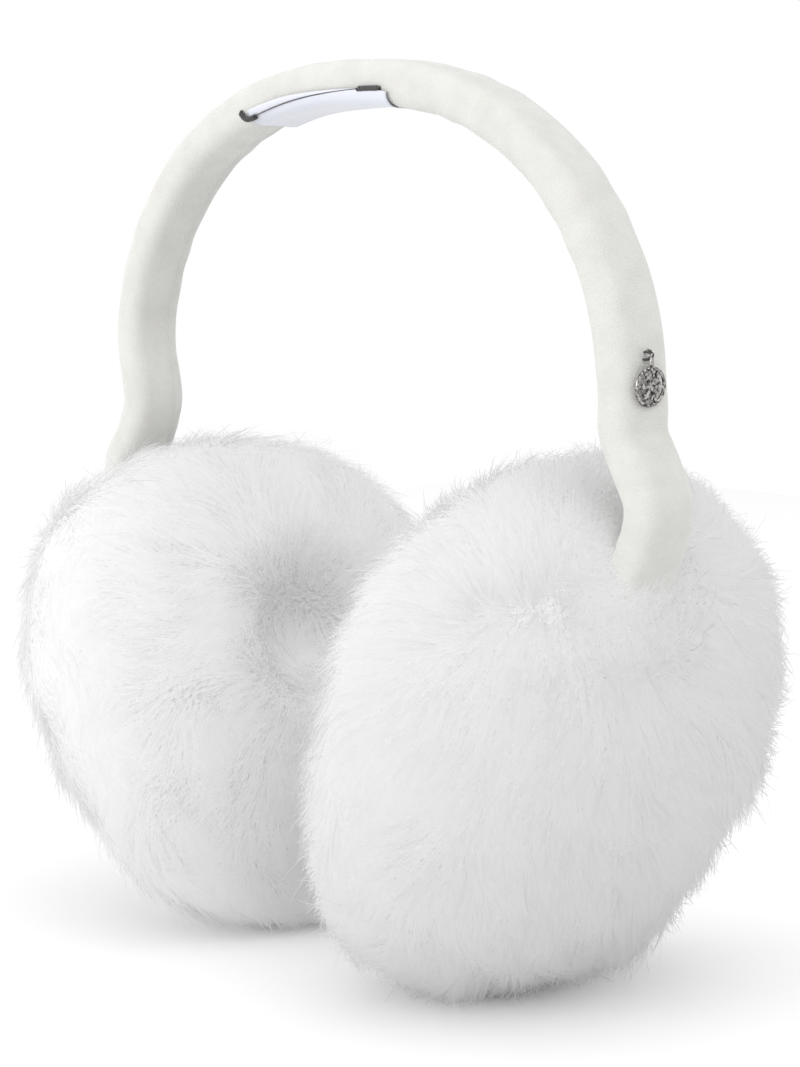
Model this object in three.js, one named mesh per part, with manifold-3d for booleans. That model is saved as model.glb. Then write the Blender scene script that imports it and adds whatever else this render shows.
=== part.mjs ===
// Fur earmuffs: a padded velvet headband bent over the head, with a deep fur cup on each end.
// Millimetres, +Z up. +X points to the leg that carries the charm, -Y to the front.
// The origin lies on the floor, midway between the two cups that stand on it.

import * as THREE from 'three';
import { mergeVertices } from 'three/addons/utils/BufferGeometryUtils.js';
import Module from 'manifold-3d';

const wasm = await Module();
wasm.setup();

// Clear space that separate pieces keep between them
const gap = 0.3;

// Headband: one padded sleeve whose centreline is half a superellipse on two kinked legs
const bandTop = 222.5;
const bandForward = 7.9;
const bandWidth = 15.4;
const bandThickness = 10.6;
const bandCorner = 3.2;
const bandCornerPoints = 3;
const bandSteps = 56;
const archHalfWidth = 96.5;
const archSpringHeight = 139.7;
const archRoundness = 2.24;
const archPoints = 30;
const archOverLeg = 5;

// Centreline of each leg below the arch, from the top down: it kinks outwards, then runs into its cup
const rightLeg = [
  { out: 97.0, up: 137.1 },
  { out: 99.2, up: 132.9 },
  { out: 102.6, up: 127.9 },
  { out: 104.9, up: 123.1 },
  { out: 104.5, up: 117.7 },
  { out: 102.0, up: 111.9 },
  { out: 98.0, up: 104.5 },
  { out: 92.4, up: 96.9 },
  { out: 85.6, up: 89.5 },
];
const leftLeg = [
  { out: 94.9, up: 149.0 },
  { out: 92.9, up: 141.0 },
  { out: 92.4, up: 135.0 },
  { out: 94.0, up: 129.2 },
  { out: 97.6, up: 124.0 },
  { out: 101.6, up: 118.6 },
  { out: 102.4, up: 112.4 },
  { out: 98.6, up: 104.5 },
  { out: 92.4, up: 96.9 },
  { out: 85.6, up: 89.5 },
];

// Ear cups: egg-shaped discs that lean outwards at the top, measured to the tips of their fur.
// above, below, front and rear run from the middle to the rim, outer and inner to the two faces
const rightCup = {
  out: 56.3, back: -0.9, height: 70.4, lean: 21.8,
  above: 62.7, below: 76.2, front: 57.1, rear: 65, outer: 46, inner: 35.7,
};
const leftCup = {
  out: 59.2, back: 1.4, height: 68.7, lean: 24.9,
  above: 59.9, below: 76.2, front: 67.6, rear: 64.8, outer: 39, inner: 36.7,
};
const rimRoundness = 2.2;
const profileRoundness = 1.97;
const cupAround = 22;
const cupAcross = 14;

// Fur: how far the tips of the locks stand off the backing. Below pressedHeight the floor presses them flat
const furDepth = 4.4;
const pressedHeight = 20;

// Ear hollow in the middle of each cup's inner face
const hollowRadius = 38;
const hollowDepth = 20;
const hollowDrop = 4;

// The headband's foot on the outer face, where the fur swells round it
const foot = { depth: -8, rise: 49 };
const footReach = 22;
const footSwell = 5;

// Parting of the fur on the outer face, in front of the foot, that ends in a whorl
const partingStart = { depth: -20, rise: 46 };
const partingWhorl = { depth: -40, rise: 39 };
const partingReach = 10;
const partingDepth = 5;

// Locks of fur in rings about the cup's axis, from the outer face to the inner one
const lockRings = [
  { latitude: 86, count: 1 },
  { latitude: 70, count: 5 },
  { latitude: 50, count: 8 },
  { latitude: 32, count: 11 },
  { latitude: 15, count: 13 },
  { latitude: -2, count: 13 },
  { latitude: -20, count: 12 },
  { latitude: -39, count: 10 },
  { latitude: -60, count: 6 },
];
const lockWidth = 22;
const lockRidge = 3.8;
const lockKeel = 6.5;
const lockReach = 19;
const lockSink = 4;
const lockSides = 4;
const lockBends = 2;
const lockMostTurn = 0.6;
const lockClearOfBand = 13;

// Care label: a bare satin strip round the arch's inner side, off centre to the left
const labelThickness = 0.6;
const labelLeft = -45;
const labelRight = 10;
const labelSteps = 14;

// Charm: an openwork medal with a snow crystal, hung from a jump ring on a thread tack
const charmHeight = 149;
const charmBack = 0;
const charmRadius = 4.5;
const charmRim = 0.75;
const charmThickness = 0.7;
const charmBar = 0.62;
const charmTwig = 1.15;
const charmTwigBar = 0.45;
const charmTwigAt = 1.9;
const charmTilt = THREE.MathUtils.degToRad(8);
const ringWire = 0.55;
const ringTurn = THREE.MathUtils.degToRad(42);
const tackWire = 0.55;

const velvet = { color: 0xf1f0ea, roughness: 0.95, metalness: 0 };
const fur = { color: 0xfafafa, roughness: 1, metalness: 0 };
const satin = { color: 0xe9ebf2, roughness: 0.45, metalness: 0 };
const gunmetal = { color: 0x77726f, roughness: 0.3, metalness: 1 };
const darkThread = { color: 0x2b2a2c, roughness: 0.8, metalness: 0 };

// Solids and geometries
function toSolid(geometry) {
  const bare = geometry.clone();
  bare.deleteAttribute('normal');
  bare.deleteAttribute('uv');
  const merged = mergeVertices(bare);
  const vertProperties = new Float32Array(merged.attributes.position.array);
  const triVerts = new Uint32Array(merged.index.array);
  return new wasm.Manifold(new wasm.Mesh({ numProp: 3, vertProperties, triVerts }));
}

function toGeometry(solid) {
  const { vertProperties, triVerts } = solid.getMesh();
  const geometry = new THREE.BufferGeometry();
  geometry.setAttribute('position', new THREE.BufferAttribute(vertProperties, 3));
  geometry.setIndex(new THREE.BufferAttribute(triVerts, 1));
  return geometry;
}

// The largest connected skin of a geometry: small caves that overlapping locks close off are filled in
function largestSkin(geometry) {
  const corners = geometry.index.array;
  const leader = Array.from({ length: geometry.attributes.position.count }, (_, i) => i);
  const find = (vertex) => {
    let at = vertex;
    while (leader[at] !== at) {
      leader[at] = leader[leader[at]];
      at = leader[at];
    }
    return at;
  };
  for (let i = 0; i < corners.length; i += 3) {
    leader[find(corners[i + 1])] = find(corners[i]);
    leader[find(corners[i + 2])] = find(corners[i]);
  }
  const skins = new Map();
  for (let i = 0; i < corners.length; i += 3) {
    const skin = find(corners[i]);
    if (!skins.has(skin)) skins.set(skin, []);
    skins.get(skin).push(corners[i], corners[i + 1], corners[i + 2]);
  }
  const largest = [...skins.values()].reduce((best, skin) => (skin.length > best.length ? skin : best));
  geometry.setIndex(largest);
  return mergeVertices(geometry);
}

// The same geometry on the other side of the YZ plane, with its faces still pointing outwards
function mirrored(geometry) {
  const copy = geometry.clone().scale(-1, 1, 1);
  const corners = copy.index.array;
  for (let i = 0; i < corners.length; i += 3) {
    [corners[i], corners[i + 1]] = [corners[i + 1], corners[i]];
  }
  return copy;
}

function signedPower(value, power) {
  return Math.sign(value) * Math.abs(value) ** power;
}

// The section of the headband, grown by a margin all round: a rectangle with round corners.
// X runs across the band, towards its front, and Y towards the head
function bandSection(growth) {
  const round = bandCorner + growth;
  const flatX = bandWidth / 2 - bandCorner;
  const flatY = bandThickness / 2 - bandCorner;
  const points = [];
  for (let corner = 0; corner < 4; corner += 1) {
    const centreX = corner === 0 || corner === 3 ? flatX : -flatX;
    const centreY = corner < 2 ? flatY : -flatY;
    for (let i = 0; i < bandCornerPoints; i += 1) {
      const angle = (Math.PI / 2) * (corner + i / (bandCornerPoints - 1));
      const x = centreX + round * Math.cos(angle);
      const y = centreY + round * Math.sin(angle);
      points.push(new THREE.Vector2(x, y));
    }
  }
  return points;
}

// Headband
function archPoint(angle) {
  const rise = bandTop - bandThickness / 2 - archSpringHeight;
  const x = archHalfWidth * signedPower(Math.cos(angle), 2 / archRoundness);
  const z = archSpringHeight + rise * Math.sin(angle) ** (2 / archRoundness);
  return new THREE.Vector3(x, 0, z);
}

function legPoints(leg, side) {
  return leg.map((row) => new THREE.Vector3(side * row.out, 0, row.up));
}

// The centreline from the left tail to the right one, each lengthened by extra
function bandPath(extra) {
  const right = legPoints(rightLeg, 1);
  const left = legPoints(leftLeg, -1);
  for (const points of [right, left]) {
    const [beforeEnd, end] = points.slice(-2);
    end.add(end.clone().sub(beforeEnd).setLength(extra));
  }
  const points = left.reverse();
  for (let i = 0; i <= archPoints; i += 1) {
    const spot = archPoint(Math.PI * (1 - i / archPoints));
    const [legTop] = spot.x < 0 ? leftLeg : rightLeg;
    if (spot.z > legTop.up + archOverLeg) points.push(spot);
  }
  points.push(...right);
  const path = new THREE.CatmullRomCurve3(points);
  path.arcLengthDivisions = 800;
  return path;
}

function bandGeometry(growth) {
  const section = new THREE.Shape(bandSection(growth));
  return new THREE.ExtrudeGeometry(section, { steps: bandSteps, extrudePath: bandPath(growth) });
}

// Where the centreline passes a height on the right leg, with the direction it climbs in there
function legAt(height) {
  const path = bandPath(0);
  let low = 0.5;
  let high = 1;
  for (let i = 0; i < 40; i += 1) {
    const middle = (low + high) / 2;
    if (path.getPointAt(middle).z > height) low = middle;
    else high = middle;
  }
  return { point: path.getPointAt(low), climb: path.getTangentAt(low).negate() };
}

// 1 at the middle of a dent, falling smoothly to 0 at its edge
function dent(share) {
  return share < 1 ? 0.5 + 0.5 * Math.cos(Math.PI * share) : 0;
}

function footShare(depth, rise) {
  return Math.hypot(depth - foot.depth, rise - foot.rise) / footReach;
}

function partingShare(depth, rise) {
  const from = new THREE.Vector2(partingStart.depth, partingStart.rise);
  const along = new THREE.Vector2(partingWhorl.depth, partingWhorl.rise).sub(from);
  const spot = new THREE.Vector2(depth, rise).sub(from);
  const share = THREE.MathUtils.clamp(spot.dot(along) / along.lengthSq(), 0, 1);
  return spot.sub(along.multiplyScalar(share)).length() / partingReach;
}

// An ear cup on the +X side. Its own frame has an axis from the inner face to the outer one,
// a depth from front to rear and a rise from the bottom of its rim to the top
class EarCup {
  constructor(sizes, leg) {
    this.sizes = sizes;
    this.lean = THREE.MathUtils.degToRad(sizes.lean);
    this.leg = legPoints(leg, 1).map((point) => point.setY(-bandForward));
  }

  toRoom(axial, depth, rise) {
    const { out, back, height } = this.sizes;
    const x = out + axial * Math.cos(this.lean) + rise * Math.sin(this.lean);
    const z = height - axial * Math.sin(this.lean) + rise * Math.cos(this.lean);
    return new THREE.Vector3(x, back + depth, z);
  }

  // A point sunk below the tips of the fur. latitude runs from the inner pole to the outer one,
  // longitude from the top of the rim to the rear
  surface(longitude, latitude, sunk) {
    const { above, below, front, rear, outer, inner } = this.sizes;
    const round = Math.abs(Math.cos(latitude)) ** (2 / profileRoundness);
    const turnUp = signedPower(Math.cos(longitude), 2 / rimRoundness);
    const turnBack = signedPower(Math.sin(longitude), 2 / rimRoundness);
    const rise = ((turnUp > 0 ? above : below) - sunk) * turnUp * round;
    const depth = ((turnBack > 0 ? rear : front) - sunk) * turnBack * round;
    const bulge = (latitude > 0 ? outer : inner) - sunk;
    let axial = bulge * signedPower(Math.sin(latitude), 2 / profileRoundness);
    if (latitude > 0) {
      axial += footSwell * dent(footShare(depth, rise));
      axial -= partingDepth * dent(partingShare(depth, rise));
    } else {
      axial += hollowDepth * dent(Math.hypot(depth, rise + hollowDrop) / hollowRadius);
    }
    return this.toRoom(axial, depth, rise);
  }

  // The backing lies a fur's depth below the tips, but comes up to them where the floor presses them
  backing(longitude, latitude) {
    const tips = this.surface(longitude, latitude, 0);
    const free = THREE.MathUtils.smoothstep(tips.z, 0, pressedHeight);
    return this.surface(longitude, latitude, furDepth * free);
  }

  backingSolid() {
    const geometry = new THREE.SphereGeometry(1, cupAround, cupAcross);
    const place = geometry.attributes.position;
    const spot = new THREE.Vector3();
    for (let i = 0; i < place.count; i += 1) {
      spot.fromBufferAttribute(place, i);
      const latitude = Math.asin(THREE.MathUtils.clamp(spot.y, -1, 1));
      const point = this.backing(Math.atan2(spot.z, spot.x), latitude);
      place.setXYZ(i, point.x, point.y, point.z);
    }
    return toSolid(geometry);
  }

  // The backing at a spot, with its outward normal and how it runs on per radian either way
  spot(longitude, latitude) {
    const step = 0.01;
    const root = this.backing(longitude, latitude);
    const east = this.backing(longitude + step, latitude).sub(root).divideScalar(step);
    const north = this.backing(longitude, latitude + step).sub(root).divideScalar(step);
    const normal = north.clone().cross(east).normalize();
    return { longitude, latitude, root, east, north, normal };
  }

  // Which way the fur is combed: away from the headband's foot outside, away from the hollow inside
  flow({ latitude, root, normal }) {
    const source = this.toRoom(this.sizes.outer / 2, foot.depth, foot.rise);
    const away = root.clone().sub(source).projectOnPlane(normal).normalize();
    const hollow = this.toRoom(-this.sizes.inner, 0, -hollowDrop);
    const spread = root.clone().sub(hollow).projectOnPlane(normal).normalize();
    if (root.distanceTo(hollow) < hollowRadius * 0.8) spread.negate();
    const outside = THREE.MathUtils.smoothstep(latitude, -0.35, 0.1);
    return spread.lerp(away, outside).normalize();
  }

  // A spot at the tips of the fur, a share of a lock's reach along the flow
  combed({ longitude, latitude, east, north }, flow, share) {
    const turn = (way) => {
      const radians = (lockReach * share * flow.dot(way)) / way.lengthSq();
      return THREE.MathUtils.clamp(radians, -lockMostTurn, lockMostTurn);
    };
    return this.surface(longitude + turn(east), latitude + turn(north), 0);
  }

  // One lock: a tapered tuft that rises from inside the backing and lies over along the flow
  lockSolid(spot) {
    const flow = this.flow(spot);
    const across = spot.normal.clone().cross(flow);
    const start = spot.root.clone().addScaledVector(spot.normal, -lockSink);
    const knee = this.combed(spot, flow, 0.4);
    const spine = new THREE.QuadraticBezierCurve3(start, knee, this.combed(spot, flow, 1));
    const geometry = new THREE.ConeGeometry(1, 1, lockSides, lockBends);
    const place = geometry.attributes.position;
    for (let i = 0; i < place.count; i += 1) {
      const share = place.getY(i) + 0.5;
      const fuller = 1 + share;
      const wide = (place.getX(i) * fuller * lockWidth) / 2;
      const thick = place.getZ(i) * fuller * (place.getZ(i) > 0 ? lockKeel : lockRidge);
      const point = spine.getPoint(share);
      point.addScaledVector(across.clone().cross(spine.getTangent(share)), thick);
      point.addScaledVector(across, wide);
      place.setXYZ(i, point.x, point.y, point.z);
    }
    return toSolid(geometry);
  }

  furredGeometry() {
    let solid = this.backingSolid();
    lockRings.forEach((ring, index) => {
      const latitude = THREE.MathUtils.degToRad(ring.latitude);
      for (let i = 0; i < ring.count; i += 1) {
        const spot = this.spot((2 * Math.PI * (i + (index % 2) / 2)) / ring.count, latitude);
        const clear = this.leg.every((point) => point.distanceTo(spot.root) > lockClearOfBand);
        if (clear) solid = solid.add(this.lockSolid(spot));
      }
    });
    const room = 400;
    const aboveFloor = new THREE.BoxGeometry(room, room, room).translate(0, 0, room / 2);
    return toGeometry(solid.intersect(toSolid(aboveFloor)));
  }
}

// The socket that the headband's tail is sunk in, with a clear gap all round
function socketed(geometry) {
  const tail = toSolid(bandGeometry(gap).translate(0, -bandForward, 0));
  return largestSkin(toGeometry(toSolid(geometry).subtract(tail)));
}

// The section of the label: the inner side of the headband's section, gap clear of it
function labelSection() {
  const inner = bandSection(gap).slice(1, 2 * bandCornerPoints - 1);
  const outer = bandSection(gap + labelThickness).slice(1, 2 * bandCornerPoints - 1);
  return new THREE.Shape([...outer, ...inner.reverse()]);
}

function labelGeometry() {
  const points = [];
  for (let i = 0; i <= labelSteps; i += 1) {
    const x = THREE.MathUtils.lerp(labelLeft, labelRight, i / labelSteps);
    points.push(archPoint(Math.acos(signedPower(x / archHalfWidth, archRoundness / 2))));
  }
  const strip = new THREE.CatmullRomCurve3(points);
  return new THREE.ExtrudeGeometry(labelSection(), { steps: labelSteps, extrudePath: strip });
}

// Charm, made flat in the XY plane with its top towards +Y
function charmGeometry() {
  const disc = new THREE.Shape().absarc(0, 0, charmRadius, 0, 2 * Math.PI);
  disc.holes.push(new THREE.Path().absarc(0, 0, charmRadius - charmRim, 0, 2 * Math.PI, true));
  const flat = { depth: charmThickness, bevelEnabled: false, curveSegments: 12 };
  const rim = new THREE.ExtrudeGeometry(disc, flat).translate(0, 0, -charmThickness / 2);
  const span = 2 * charmRadius - charmRim;
  const bar = new THREE.BoxGeometry(charmBar, span, charmThickness);
  let solid = toSolid(rim);
  for (let arm = 0; arm < 3; arm += 1) {
    solid = solid.add(toSolid(bar.clone().rotateZ((Math.PI * (arm + 0.5)) / 3)));
  }
  const twig = new THREE.BoxGeometry(charmTwigBar, charmTwig, charmThickness);
  twig.translate(0, charmTwig / 2, 0);
  for (let arm = 0; arm < 6; arm += 1) {
    for (const side of [-1, 1]) {
      const branch = twig.clone().rotateZ((side * Math.PI) / 3.4).translate(0, charmTwigAt, 0);
      solid = solid.add(toSolid(branch.rotateZ((Math.PI * (arm + 0.5)) / 3)));
    }
  }
  return toGeometry(solid);
}

function wireShape(wire, sides = 6) {
  const points = [];
  for (let i = 0; i < sides; i += 1) {
    const angle = (2 * Math.PI * i) / sides;
    points.push(new THREE.Vector2(Math.cos(angle), Math.sin(angle)).multiplyScalar(wire / 2));
  }
  return new THREE.Shape(points);
}

const group = new THREE.Group();

function addPiece(name, geometry, look, parent = group) {
  const mesh = new THREE.Mesh(geometry, new THREE.MeshStandardMaterial(look));
  mesh.name = name;
  parent.add(mesh);
  return mesh;
}

// The headband and what is sewn to it stand forward of the cups' middle
const bandGroup = new THREE.Group();
bandGroup.position.y = -bandForward;
group.add(bandGroup);
addPiece('headband', bandGeometry(0), velvet, bandGroup);
addPiece('care_label', labelGeometry(), satin, bandGroup);

const rightFur = new EarCup(rightCup, rightLeg).furredGeometry();
const leftFur = mirrored(new EarCup(leftCup, leftLeg).furredGeometry());
addPiece('right_ear_cup', socketed(rightFur), fur);
addPiece('left_ear_cup', socketed(leftFur), fur);

// The charm's stack stands on the outer face of the right leg, turned with it
const leg = legAt(charmHeight);
const outwards = new THREE.Vector3(leg.climb.z, 0, -leg.climb.x);
const stack = new THREE.Group();
stack.position.copy(leg.point).addScaledVector(outwards, bandThickness / 2 + gap);
stack.position.y = charmBack;
stack.quaternion.setFromRotationMatrix(
  new THREE.Matrix4().makeBasis(new THREE.Vector3(0, 1, 0), leg.climb, outwards),
);
bandGroup.add(stack);

// In the stack, X runs back, Y up the leg and Z away from it
const ringBottom = charmRadius - charmRim - gap - ringWire / 2;
const ringTop = charmRadius + 2.6;
const ringRadius = (ringTop - ringBottom) / 2;
const ringOff = ringRadius * Math.sin(ringTurn) + ringWire / 2;
const charm = addPiece('charm', charmGeometry(), gunmetal, stack);
charm.rotation.x = charmTilt;
charm.position.z = charmThickness / 2 + charmRadius * Math.sin(charmTilt);

const ringGeometry = new THREE.TorusGeometry(ringRadius, ringWire / 2, 6, 16);
const ring = addPiece('jump_ring', ringGeometry, gunmetal, stack);
ring.rotation.y = ringTurn;
ring.position.set(0, (ringTop + ringBottom) / 2, ringOff);

// A thread loop sewn into the velvet, round the top of the jump ring
const tackRadius = ringWire / 2 + gap + tackWire / 2;
const tackPoints = [new THREE.Vector3(0, ringTop + tackRadius, 0)];
for (let i = 0; i <= 6; i += 1) {
  const angle = (Math.PI * i) / 6;
  const off = ringOff + tackRadius * Math.sin(angle);
  tackPoints.push(new THREE.Vector3(0, ringTop + tackRadius * Math.cos(angle), off));
}
tackPoints.push(new THREE.Vector3(0, ringTop - tackRadius, 0));
const tackPath = { steps: 12, extrudePath: new THREE.CatmullRomCurve3(tackPoints) };
addPiece('thread_tack', new THREE.ExtrudeGeometry(wireShape(tackWire), tackPath), darkThread, stack);

export default group;
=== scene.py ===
# %% [markdown]
# # White fur earmuffs
# A padded velvet headband is bent over the head, and each of its ends is sunk in a deep fur cup.
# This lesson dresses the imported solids: the velvet sleeve, the fur, the satin label and its black
# stitches, and the small openwork charm. The solids stay as the frame that everything is placed by.

# %% Load the frame
import math
import bpy
import numpy as np
from mathutils import Matrix, Vector, kdtree


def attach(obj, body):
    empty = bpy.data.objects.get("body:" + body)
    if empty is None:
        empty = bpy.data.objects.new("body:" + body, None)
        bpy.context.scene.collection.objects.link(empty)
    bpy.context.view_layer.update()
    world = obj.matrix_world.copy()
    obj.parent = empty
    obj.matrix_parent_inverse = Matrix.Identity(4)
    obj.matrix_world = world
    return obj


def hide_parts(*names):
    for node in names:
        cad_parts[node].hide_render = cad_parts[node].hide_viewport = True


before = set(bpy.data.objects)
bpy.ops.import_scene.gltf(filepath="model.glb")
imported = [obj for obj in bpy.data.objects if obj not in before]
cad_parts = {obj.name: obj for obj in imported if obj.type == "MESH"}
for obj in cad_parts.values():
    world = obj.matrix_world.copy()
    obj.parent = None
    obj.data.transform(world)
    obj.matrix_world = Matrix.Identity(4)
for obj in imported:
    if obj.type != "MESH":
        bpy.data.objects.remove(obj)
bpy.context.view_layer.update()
MM = 0.001

# %% [markdown]
# ## Camera
# The picture was taken from the front right, a little below the top of the arch and almost level.
# A long lens keeps the two cups about the same size. The place, turn and lens come from solving
# the outline of the arch and of the cups together.

# %% Camera
bpy.ops.object.select_all(action="DESELECT")
CAMERA_PLACE = (0.5212, -0.4147, 0.1853)
CAMERA_TURN = math.radians(51.2)
CAMERA_DIP = math.radians(6.77)
LENS_MM, SENSOR_MM = 90.65, 36
bpy.ops.object.camera_add(location=CAMERA_PLACE,
                          rotation=(math.pi / 2 - CAMERA_DIP, 0, CAMERA_TURN))
camera = bpy.context.object
camera.name = "camera"
camera.data.lens = LENS_MM
camera.data.sensor_width = SENSOR_MM
bpy.context.scene.camera = camera
print("camera lens in mm:", camera.data.lens)

# %% [markdown]
# ## Helpers for modelling by hand
# Every piece starts with nothing selected. A finished piece has its place applied to its mesh,
# one material and a body to ride on; where it stands for a solid, that solid is hidden.


# %% Helpers
def start_clean():
    if bpy.context.object and bpy.context.object.mode != "OBJECT":
        bpy.ops.object.mode_set(mode="OBJECT")
    bpy.ops.object.select_all(action="DESELECT")


def only(piece):
    start_clean()
    piece.select_set(True)
    bpy.context.view_layer.objects.active = piece


def points_of(piece):
    flat = np.empty(len(piece.data.vertices) * 3)
    piece.data.vertices.foreach_get("co", flat)
    return flat.reshape(-1, 3)


def move_points(piece, points):
    piece.data.vertices.foreach_set("co", np.asarray(points).ravel())
    piece.data.update()


def select_edges(piece, wanted):
    """Selects the edges whose two ends pass the test; the piece is in object mode."""
    points = points_of(piece)
    for edge in piece.data.edges:
        edge.select = bool(wanted(points[edge.vertices[0]], points[edge.vertices[1]]))


def edge_edit(piece, wanted, step):
    """Runs one edit-mode step on the edges that pass the test."""
    only(piece)
    bpy.ops.object.mode_set(mode="EDIT")
    bpy.ops.mesh.select_mode(type="EDGE")
    bpy.ops.mesh.select_all(action="DESELECT")
    bpy.ops.object.mode_set(mode="OBJECT")
    select_edges(piece, wanted)
    bpy.ops.object.mode_set(mode="EDIT")
    step()
    bpy.ops.object.mode_set(mode="OBJECT")


def settle(piece):
    """Puts the object's place, turn and scale into its mesh."""
    only(piece)
    bpy.ops.object.transform_apply(location=True, rotation=True, scale=True)


def face_outwards(piece):
    """Turns every face of a piece outwards."""
    only(piece)
    bpy.ops.object.mode_set(mode="EDIT")
    bpy.ops.mesh.select_all(action="SELECT")
    bpy.ops.mesh.normals_make_consistent(inside=False)
    bpy.ops.object.mode_set(mode="OBJECT")


def finish_piece(piece, name, material, stands_for=()):
    piece.name = name
    piece.data.name = name
    piece.data.materials.clear()
    piece.data.materials.append(material)
    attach(piece, "root")
    if stands_for:
        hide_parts(*stands_for)
    print(name, len(piece.data.vertices), "points")


# %% [markdown]
# ## Materials
# Velvet is a short dense pile: it is matt, and it lightens where it is seen at a flat angle, so it
# has sheen and a fine bump. Fur gets its softness from thousands of pale strands that shade like
# the round body under them. Their colour is darker towards their roots, a painted shade for the
# light lost deep in the fur, and the left cup's strands are painted lighter than the right's. A
# strand is so thin that light also comes through it, so its shader is part translucent. Satin is
# smooth with a fine rib. The charm is polished dark nickel whose colour has painted reflections,
# dark and bright blotches, and the label is held by black twisted thread.


# %% Material helpers
def shader_of(material):
    return material.node_tree.nodes["Principled BSDF"]


def new_material(name, colour, roughness, **sockets):
    material = bpy.data.materials.new(name)
    material.use_nodes = True
    shader = shader_of(material)
    shader.inputs["Base Color"].default_value = (*colour, 1)
    shader.inputs["Roughness"].default_value = roughness
    for socket, value in sockets.items():
        shader.inputs[socket.replace("_", " ")].default_value = value
    return material


def add_node(material, kind, **values):
    node = material.node_tree.nodes.new(kind)
    for key, value in values.items():
        if key in node.inputs:
            node.inputs[key].default_value = value
        else:
            setattr(node, key, value)
    return node


def link(material, out, into):
    material.node_tree.links.new(out, into)


def noise(material, scale, detail=2.0, stretch=None):
    """Noise on Object coordinates; scale is in features per metre, stretch scales each axis."""
    coordinates = add_node(material, "ShaderNodeTexCoord")
    mapping = add_node(material, "ShaderNodeMapping")
    if stretch:
        mapping.inputs["Scale"].default_value = stretch
    texture = add_node(material, "ShaderNodeTexNoise", Scale=scale, Detail=detail)
    link(material, coordinates.outputs["Object"], mapping.inputs["Vector"])
    link(material, mapping.outputs["Vector"], texture.inputs["Vector"])
    return texture


def ramp(material, source, stops):
    node = add_node(material, "ShaderNodeValToRGB")
    elements = node.color_ramp.elements
    while len(elements) < len(stops):
        elements.new(0.5)
    for element, (place, colour) in zip(elements, stops):
        element.position = place
        element.color = (*colour, 1)
    link(material, source, node.inputs["Fac"])
    return node


def bump(material, source, height, strength=1.0):
    node = add_node(material, "ShaderNodeBump", Distance=height, Strength=strength)
    link(material, source, node.inputs["Height"])
    link(material, node.outputs["Normal"], shader_of(material).inputs["Normal"])


def base_colour(material, source, stops):
    """Colours the shader by a ramp over a value, and gives back the ramp's colour."""
    colour = ramp(material, source, stops).outputs["Color"]
    link(material, colour, shader_of(material).inputs["Base Color"])
    return colour


# %% Velvet
VELVET_LIT = (0.595, 0.592, 0.568)
VELVET_SHADE = (0.56, 0.556, 0.532)
velvet = new_material("velvet", VELVET_LIT, 0.92, Sheen_Weight=0.35, Sheen_Roughness=0.45,
                      Specular_IOR_Level=0.15)
shader_of(velvet).inputs["Sheen Tint"].default_value = (1, 1, 0.98, 1)
brushed = noise(velvet, 160, 5)
base_colour(velvet, brushed.outputs["Fac"], [(0.3, VELVET_SHADE), (0.62, VELVET_LIT)])
pile_grain = noise(velvet, 2600, 2)
bump(velvet, pile_grain.outputs["Fac"], 0.00025, 0.8)
print("velvet made")

# %% Fur and the wool under it
# A strand's colour runs from FUR_ROOT to FUR_TIP by its shade attribute: painted shade towards the
# root, painted light per cup, and a random tone.
FUR_ROOT = (0.62, 0.62, 0.622)
FUR_TIP = (0.86, 0.86, 0.862)
# The wool is darker where its bump is low: painted shade in the hollows of the curl.
WOOL_PAINTED_HOLLOW_SHADE, WOOL_HIGH = (0.61, 0.61, 0.612), (0.65, 0.65, 0.652)
SEEN_THROUGH = 0.35
fur = new_material("fur", FUR_TIP, 0.6, Sheen_Weight=0.2, Sheen_Roughness=0.5,
                   Specular_IOR_Level=0.1)
strand_shade = add_node(fur, "ShaderNodeAttribute", attribute_name="shade")
strand_colour = base_colour(fur, strand_shade.outputs["Fac"], [(0.0, FUR_ROOT), (1.0, FUR_TIP)])
translucent = add_node(fur, "ShaderNodeBsdfTranslucent")
link(fur, strand_colour, translucent.inputs["Color"])
both_sides = add_node(fur, "ShaderNodeMixShader", Fac=SEEN_THROUGH)
link(fur, shader_of(fur).outputs["BSDF"], both_sides.inputs[1])
link(fur, translucent.outputs["BSDF"], both_sides.inputs[2])
link(fur, both_sides.outputs["Shader"], fur.node_tree.nodes["Material Output"].inputs["Surface"])
wool = new_material("wool", FUR_ROOT, 0.95, Specular_IOR_Level=0.05)
wool_curl = noise(wool, 700, 3)
base_colour(wool, wool_curl.outputs["Fac"], [(0.3, WOOL_PAINTED_HOLLOW_SHADE), (0.7, WOOL_HIGH)])
bump(wool, wool_curl.outputs["Fac"], 0.0012)
print("fur and wool made")

# %% Satin, dark nickel and black thread
satin = new_material("satin", (0.6, 0.615, 0.68), 0.32, Sheen_Weight=0.1, Specular_IOR_Level=0.5)
weave = noise(satin, 2200, 1, stretch=(0.1, 1, 1))
bump(satin, weave.outputs["Fac"], 0.00006, 0.5)
nickel = new_material("dark_nickel", (0.2, 0.19, 0.185), 0.18, Metallic=1.0)
# Painted reflections: the metal's colour has dark and bright blotches that stand in for the
# reflections of a varied room.
painted_reflection = noise(nickel, 1500, 2)
base_colour(nickel, painted_reflection.outputs["Fac"],
            [(0.38, (0.045, 0.043, 0.042)), (0.62, (0.5, 0.485, 0.47))])
thread = new_material("black_thread", (0.02, 0.02, 0.022), 0.7, Sheen_Weight=0.3)
fibres = noise(thread, 6000, 2)
base_colour(thread, fibres.outputs["Fac"],
            [(0.3, (0.012, 0.012, 0.014)), (0.75, (0.05, 0.048, 0.052))])
bump(thread, fibres.outputs["Fac"], 0.0001)
print("satin, nickel and thread made")

# %% [markdown]
# ## The headband's centreline
# The band lies in one upright plane, forward of the middle of the cups. Over the head it is half a
# superellipse; below, each leg kinks outwards and then runs down into its cup. The same few sizes
# shape the solid, so the sleeve lies where the solid lies.

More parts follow.
